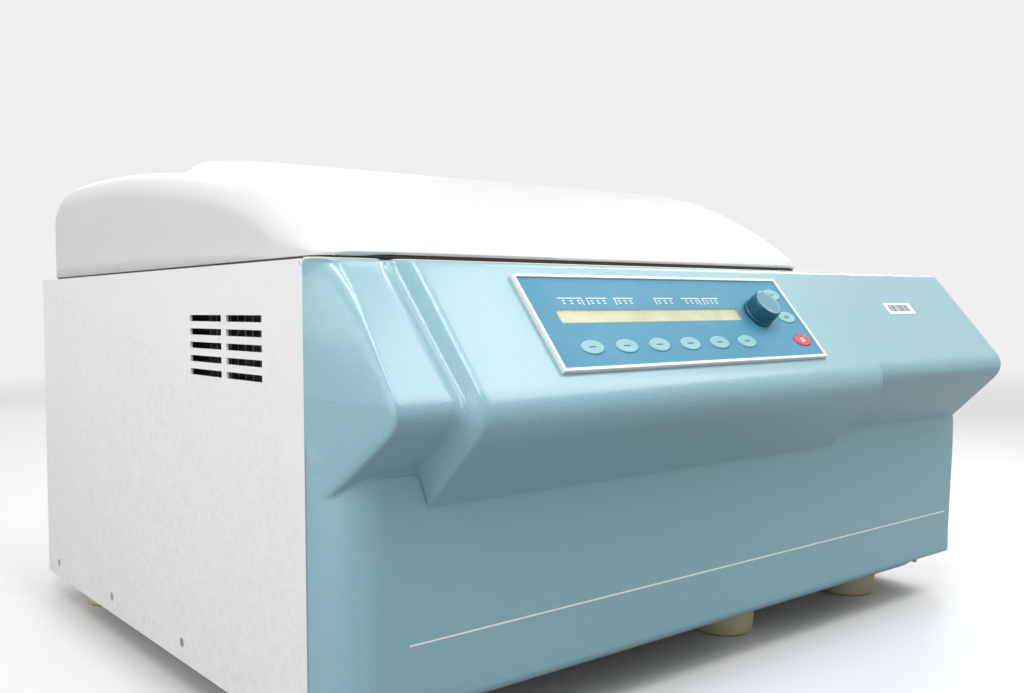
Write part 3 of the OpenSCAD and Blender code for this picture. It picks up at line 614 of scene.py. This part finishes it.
def lid_row(y, sink):
    """One cross-section of the lid, from the left rim over the top to the right rim."""
    inset = max(cut_off(d, PLAN_R) for d in (y - LY0, LY1 - y))
    xl, xr = LX0 + inset, LX1 - inset
    x0, x1 = xl + LEFT_R, xr - RIGHT_R
    left, right = lid_top(x0, y) - sink, lid_top(x1, y) - sink
    rz_l = min(LEFT_DROP, 0.85 * (left - LZ0))
    rz_r = min(RIGHT_R, 0.85 * (right - LZ0))
    foot = rim_z(xl)
    pts = [(xl, y, foot + (left - rz_l - foot) * j / 5) for j in range(5)]
    for j in range(13):
        a = math.pi / 2 * j / 12
        pts.append((xl + LEFT_R * (1 - math.cos(a)), y, left - rz_l * (1 - math.sin(a))))
    for j in range(1, 82):
        x = x0 + (-240 - x0) * j / 60 if j <= 60 else -240 + (x1 + 240) * (j - 60) / 22
        pts.append((x, y, lid_top(x, y) - sink))
    for j in range(13):
        a = math.pi / 2 * j / 12
        pts.append((xr - RIGHT_R * (1 - math.sin(a)), y, right - rz_r * (1 - math.cos(a))))
    top = pts[-1][2]
    pts += [(xr, y, top + (LZ0 - top) * j / 5) for j in range(1, 6)]
    return pts


rows = [[(x, y, rim_z(x)) for x, y, z in lid_row(LY0, 0)]]
ys = [LY0 + d for d in (0, 0.4, 1.2, 2.5, 4, 6, 8.5, 11, 14, 18, 23, 29, 36)]
y = LY0 + 44
while y < REAR_Y - 4:
    ys.append(y)
    y += 7
for y in ys:
    rows.append(lid_row(y, 0))
for i in range(15):
    a = math.pi / 2 * i / 14
    rows.append(lid_row(REAR_Y + (LY1 - REAR_Y) * math.sin(a), REAR_DROP * (1 - math.cos(a))))
last = rows[-1]
for k in (0.33, 0.66, 1.0):
    rows.append([(x, LY1, z + (rim_z(x) - z) * k) for x, _, z in last])
verts, faces = grid(rows)
lid = make("lid_moulding", verts, faces, M["white_moulding"], 50, inside=(-110, 40, 353))
solidify(lid, 3.2)
ride(lid, "lid", "white_moulding", "lid_shell")

# rubber bulb under the lid rim
path = []
inset, rad = 2.8, 13.0
gx0, gx1, gy0, gy1 = LX0 + inset, LX1 - inset, LY0 + inset, LY1 - inset
for cxy, a0 in (((gx0 + rad, gy0 + rad), 180), ((gx1 - rad, gy0 + rad), 270),
                ((gx1 - rad, gy1 - rad), 0), ((gx0 + rad, gy1 - rad), 90)):
    for i in range(9):
        a = math.radians(a0 + i * 90 / 8)
        path.append((cxy[0] + rad * math.cos(a), cxy[1] + rad * math.sin(a),
                     math.cos(a), math.sin(a)))
rows = []
for px, py, nx, ny in path + path[:1]:
    ring = []
    for i in range(12):
        a = 2 * math.pi * i / 12
        ring.append((px + nx * 2.2 * math.cos(a), py + ny * 2.2 * math.cos(a),
                     DECK_Z + 2.35 + 2.25 * math.sin(a)))
    rows.append(ring)
verts, faces = grid(rows, close=True)
ride(make("lid_gasket", verts, faces, M["black_rubber"]), "lid", "black_rubber")

# ---------------------------------------------------------------- controls

KEYS = ["program_key", "temperature_key", "brake_key", "force_key", "speed_key", "time_key",
        "open_key", "start_key", "stop_key"]


def face_coords(node):
    """Centre of a node's box as (x, s) on the sloped face."""
    lo, hi = edges_of(node)
    c = [(a + b) / 2 for a, b in zip(lo, hi)]
    s = (TOP_Y - c[1]) * CA + (TOP_Z - c[2]) * SA
    return c[0], s


def place(x, s, pts):
    """Local (u, v, h) points on the sloped face: u right, v up the face, h outwards."""
    return [on_face(x + u, s - v, h) for u, v, h in pts]


KEY_A, KEY_B, KEY_SIDES = 11.5, 6.5, 48
PAD = [(1.0, -0.8), (1.0, 2.3), (0.985, 2.75), (0.95, 3.1), (0.90, 3.22), (0.80, 3.2),
       (0.6, 3.1), (0.35, 3.03), (0.05, 3.0)]
for name in KEYS:
    kx, ks = face_coords(name)
    rows = []
    for scale, h in PAD:
        b = KEY_B - KEY_A * (1 - scale) * 0.7 if scale > 0.5 else KEY_B * scale
        around = [2 * math.pi * i / KEY_SIDES for i in range(KEY_SIDES)]
        rows.append(place(kx, ks, [(KEY_A * scale * math.cos(a), b * math.sin(a), h)
                                   for a in around]))
    verts, faces = grid(rows, close=True)
    faces.append(tuple(range(KEY_SIDES - 1, -1, -1)))
    faces.append(tuple(range(len(verts) - KEY_SIDES, len(verts))))
    look = "key_red" if name == "stop_key" else "key_aqua"
    ride(make(name + "_pad", verts, faces, M[look], 40), name, look, name)

# generic marks: a frame on the stop key, three bars on the start key, a dash on the others
MARK_T = 0.12
KEY_TOP = 3.05  # height of a key's pad over the sloped face


def bar(u0, v0, u1, v1, h):
    """Low block on the face, as local points and faces."""
    p = [(u0, v0, h - 0.3), (u1, v0, h - 0.3), (u1, v1, h - 0.3), (u0, v1, h - 0.3)]
    q = [(a, b, h + MARK_T) for a, b, _ in p]
    f = [(0, 1, 2, 3), (4, 7, 6, 5)] + [(i, i + 4, (i + 1) % 4 + 4, (i + 1) % 4)
                                       for i in range(4)]
    return p + q, f


def marks(name, mat, body, slot, items):
    """One piece made of low blocks, each given as (x, s, its points and faces)."""
    verts, faces = [], []
    for x, s, (pts, fs) in items:
        k = len(verts)
        verts += place(x, s, pts)
        faces += [tuple(i + k for i in f) for f in fs]
    ride(make(name, verts, faces, mat), body, slot)


for name in KEYS:
    kx, ks = face_coords(name)
    if name == "stop_key":
        shape = [(-2.4, -2.0, 2.4, -1.0), (-2.4, 1.0, 2.4, 2.0), (-2.4, -1.0, -1.5, 1.0),
                 (1.5, -1.0, 2.4, 1.0)]
    elif name == "start_key":
        shape = [(-3.2, -1.6, -2.2, 1.6), (-0.9, -1.6, 0.1, 1.6), (1.4, -1.6, 2.4, 1.6)]
    else:
        shape = [(-3.4, -0.45, 3.4, 0.45)]
    ink = M["ink_white"] if name == "stop_key" else M["ink_dark"]
    items = [(kx, ks, bar(*block, KEY_TOP)) for block in shape]
    marks(name + "_mark", ink, name, "key_aqua", items)

# printed legends above the display: plain brackets and dashes
d_lo, d_hi = edges_of("display_window")
PLATE_H = 2.4
LEGEND_S, LEGEND_DROP, LEGEND_PEN = 32.0, 7.0, 0.8
LEGENDS = [(8.0, 24.2, 1), (36.9, 21.7, -1), (66.1, 21.4, -1), (111.1, 22.5, -1),
           (143.5, 21.4, 1), (169.0, 20.5, -1)]
items = []
for start, width, side in LEGENDS:
    x = d_lo[0] + start
    stem = x + (width - LEGEND_PEN if side > 0 else 0)
    items.append((x, LEGEND_S, bar(0, -LEGEND_PEN, width, 0, PLATE_H)))
    items.append((stem, LEGEND_S, bar(0, -LEGEND_DROP, LEGEND_PEN, 0, PLATE_H)))
    for k in range(3):
        u = 3.4 + k * (width - 9.0) / 2
        items.append((x + u, LEGEND_S, bar(0, -5.8, 2.6, -4.9, PLATE_H)))
        items.append((x + u, LEGEND_S, bar(0, -3.4, 2.6, -2.5, PLATE_H)))
marks("panel_legends", M["ink_white"], "housing", "panel_blue", items)

# asset tag with plain bars
TAG_X, TAG_S = 258.9, 43.1
marks("asset_tag", M["bezel_white"], "housing", "white_moulding",
      [(TAG_X, TAG_S, bar(-24.4, -7.0, 24.4, 7.0, 0.15))])
items = []
u = -18.5
while u < 17.5:
    w = rng.choice([0.9, 1.3, 1.8])
    items.append((TAG_X, TAG_S, bar(u, -3.8, u + w, 4.6, 0.26)))
    u += w + rng.choice([0.8, 1.2, 1.7])
marks("asset_tag_bars", M["ink_dark"], "housing", "black_plastic", items)

# knob, turned
turn = next(j for j in frame["joints"] if j["name"] == "knob_turn")["pos_m"]
kx, ks = turn[0] / MM, (TOP_Y - turn[1] / MM) * CA + (TOP_Z - turn[2] / MM) * SA
KNOB = [(3.2, -2), (3.2, 2.9), (13.6, 2.9), (14.4, 3.2), (14.6, 3.8), (14.5, 4.8), (13.9, 5.3),
        (13.4, 5.5), (13.2, 5.9), (13.3, 6.4), (13.9, 6.8), (14.0, 7.4), (13.9, 11), (13.7, 15),
        (13.55, 16.6), (13.3, 17.5), (12.7, 18.2), (11.9, 18.5), (11.2, 18.45), (10.8, 18.3),
        (9, 18.25), (5, 18.2), (0.3, 18.2)]
KNOB_SIDES, FLUTES, FLUTE_DEPTH, KNOB_CAP = 120, 30, 0.22, 18.0
rows = []
for r, h in KNOB:
    row = []
    for i in range(KNOB_SIDES):
        a = 2 * math.pi * i / KNOB_SIDES
        rr = r
        if 7 < h < 17.6 and r > 13:
            rr = r - FLUTE_DEPTH * (0.5 + 0.5 * math.cos(a * FLUTES))
        row.append((rr * math.cos(a), rr * math.sin(a), h))
    rows.append(place(kx, ks, row))
verts, faces = grid(rows, close=True)
faces.append(tuple(range(len(verts) - KNOB_SIDES, len(verts))))
knob = make("control_knob", verts, faces, [M["knob_blue"], M["knob_lit_top"]], 60)
# faces above the cap height take the lighter copy, a painted highlight on the knob's top
for poly in knob.data.polygons:
    _, y, z = poly.center / MM
    height = -(y - TOP_Y) * SA + (z - TOP_Z) * CA
    poly.material_index = 1 if height > KNOB_CAP else 0
ride(knob, "knob", "knob_blue", "knob")

# ---------------------------------------------------------------- carried CAD nodes

# rounding of the edges of each carried node
SOFT = {"left_side_panel": 0.9, "right_side_panel": 0.9, "rear_panel": 0.7, "top_deck": 0.9,
        "control_bezel": 1.1, "control_plate": 0.3, "display_window": 0.2, "feet": 0.8,
        "base_plate": 0.5, "lid_liner": 0.7, "lid_hinges": 0.7, "deck_hinges": 0.6,
        "mains_inlet": 0.8, "rocker": 0.6, "rotor_cross": 1.2, "bucket_1": 0.9,
        "bucket_2": 0.9, "bucket_3": 0.9, "bucket_4": 0.9, "rotor_nut": 0.8,
        "compressor": 1.5, "power_unit": 0.4, "panel_screws": 0.4, "chamber_bowl": 0.3,
        "strut_tube": 0.6, "strut_rod": 0.5, "lock_bar": 0.5, "lock_housing": 0.8,
        "motor_housing": 1.0, "fan_shroud": 0.5, "fan_rotor": 0.4, "foot_bolts": 0.6,
        "lid_buffers": 0.4, "chamber_seal": 0.4}
slot_of = {p["node"]: p["material_slot"] for p in frame["record"]["subparts"]}
for node, ob in frame["nodes"].items():
    if ob.hide_render:
        continue
    look = SLOT_FINISH.get(slot_of[node], slot_of[node])
    ob.data.materials.clear()
    ob.data.materials.append(M["bezel_white" if node == "control_bezel" else look])
    if node in SOFT:
        bevel(ob, SOFT[node])

# ---------------------------------------------------------------- stage, light, camera


def floor_material():
    """Pale floor that fades into the backdrop and throws little light back."""
    mat, tree = nodes_for("stage_floor")
    add, link = tree.nodes.new, tree.links.new
    out = add("ShaderNodeOutputMaterial")
    bsdf = add("ShaderNodeBsdfPrincipled")
    rays = add("ShaderNodeLightPath")
    tint = add("ShaderNodeMix")
    tint.data_type = "RGBA"
    tint.inputs[6].default_value = (0.30, 0.30, 0.31, 1)
    tint.inputs[7].default_value = (0.80, 0.80, 0.805, 1)
    link(rays.outputs["Is Camera Ray"], tint.inputs[0])
    link(tint.outputs[2], bsdf.inputs["Base Color"])
    bsdf.inputs["Roughness"].default_value = 0.55
    glow = add("ShaderNodeEmission")
    glow.inputs["Color"].default_value = (0.87, 0.865, 0.87, 1)
    coords = add("ShaderNodeTexCoord")
    distance = add("ShaderNodeVectorMath")
    distance.operation = "LENGTH"
    link(coords.outputs["Object"], distance.inputs[0])
    fade = add("ShaderNodeMapRange")
    fade.inputs["From Min"].default_value = 1.2
    fade.inputs["From Max"].default_value = 4.5
    link(distance.outputs["Value"], fade.inputs["Value"])
    blend = add("ShaderNodeMixShader")
    link(fade.outputs[0], blend.inputs[0])
    link(bsdf.outputs[0], blend.inputs[1])
    link(glow.outputs[0], blend.inputs[2])
    link(blend.outputs[0], out.inputs[0])
    return mat


FLOOR = 30.0  # metres from the middle to each edge
me = bpy.data.meshes.new("stage_floor")
me.from_pydata([(-FLOOR, -FLOOR, 0), (FLOOR, -FLOOR, 0), (FLOOR, FLOOR, 0), (-FLOOR, FLOOR, 0)],
               [], [(0, 1, 2, 3)])
me.materials.append(floor_material())
floor = bpy.data.objects.new("stage_floor", me)
bpy.context.scene.collection.objects.link(floor)

# soft sky that lights the object, seen by the camera as one pale tone
scene = bpy.context.scene
world = bpy.data.worlds.new("studio")
scene.world = world
world.use_nodes = True
tree = world.node_tree
bg = tree.nodes["Background"]
coord = tree.nodes.new("ShaderNodeTexCoord")
split = tree.nodes.new("ShaderNodeSeparateXYZ")
sky = tree.nodes.new("ShaderNodeValToRGB")
up = tree.nodes.new("ShaderNodeMapRange")
up.inputs["From Min"].default_value = -1.0
tree.links.new(coord.outputs["Generated"], split.inputs[0])
tree.links.new(split.outputs["Z"], up.inputs["Value"])
tree.links.new(up.outputs[0], sky.inputs[0])
for pos, v in ((0.0, 0.25), (0.47, 0.42), (0.56, 0.56), (0.75, 0.68), (1.0, 0.62)):
    e = sky.color_ramp.elements.new(pos) if pos not in (0.0, 1.0) else \
        sky.color_ramp.elements[0 if pos == 0.0 else -1]
    e.color = (v * 0.5, v * 0.497, v * 0.5, 1)
seen = tree.nodes.new("ShaderNodeMix")
seen.data_type = "RGBA"
rays = tree.nodes.new("ShaderNodeLightPath")
tree.links.new(rays.outputs["Is Camera Ray"], seen.inputs[0])
tree.links.new(sky.outputs[0], seen.inputs[6])
seen.inputs[7].default_value = (0.435, 0.4325, 0.435, 1)
tree.links.new(seen.outputs[2], bg.inputs[0])
bg.inputs[1].default_value = 2.0
scene.view_settings.view_transform = "Standard"
scene.view_settings.look = "None"


def area(name, loc, target, size, power, size_y=None):
    """A rectangular lamp at loc, aimed at target."""
    light = bpy.data.lights.new(name, "AREA")
    light.energy = power
    light.shape = "RECTANGLE"
    light.size = size
    light.size_y = size_y or size
    ob = bpy.data.objects.new(name, light)
    ob.location = loc
    ob.rotation_euler = (Vector(target) - Vector(loc)).to_track_quat("-Z", "Y").to_euler()
    scene.collection.objects.link(ob)


area("window_light", (1.20, -1.25, 1.95), (0.05, -0.25, 0.30), 1.4, 22)
area("left_light", (-2.3, -0.2, 0.8), (0, 0, 0.25), 2.0, 23)
area("tube_light_a", (-0.95, -0.95, 2.0), (-0.3, -0.3, 0.3), 0.10, 13, 1.2)
area("back_light", (0.6, 2.3, 1.3), (0, 0.3, 0.2), 1.6, 9)
area("tube_light_b", (-0.25, -0.75, 2.2), (-0.3, -0.3, 0.3), 0.10, 9, 1.2)
area("tube_light_c", (1.40, 0.15, 1.50), (-0.3, -0.3, 0.3), 0.16, 7, 1.2)

CAM_YAW, CAM_PITCH, CAM_ROLL = (math.radians(v) for v in (39.18, -2.16, -0.295))
CAM_POS = (-0.703, -0.8629, 0.3159)
CAM_LENS, CAM_SENSOR = 36.05, 36.0
cam_data = bpy.data.cameras.new("camera")
cam_data.lens = CAM_LENS
cam_data.sensor_width = CAM_SENSOR
cam = bpy.data.objects.new("camera", cam_data)
level = math.cos(CAM_PITCH)
fwd = Vector((math.sin(CAM_YAW) * level, math.cos(CAM_YAW) * level, math.sin(CAM_PITCH)))
right = Vector((math.cos(CAM_YAW), -math.sin(CAM_YAW), 0))
upward = right.cross(fwd)
rot = Matrix((right, upward, -fwd)).transposed()
cam.matrix_world = (Matrix.Translation(CAM_POS) @ rot.to_4x4()
                    @ Matrix.Rotation(CAM_ROLL, 4, "Z"))
scene.collection.objects.link(cam)
scene.camera = cam
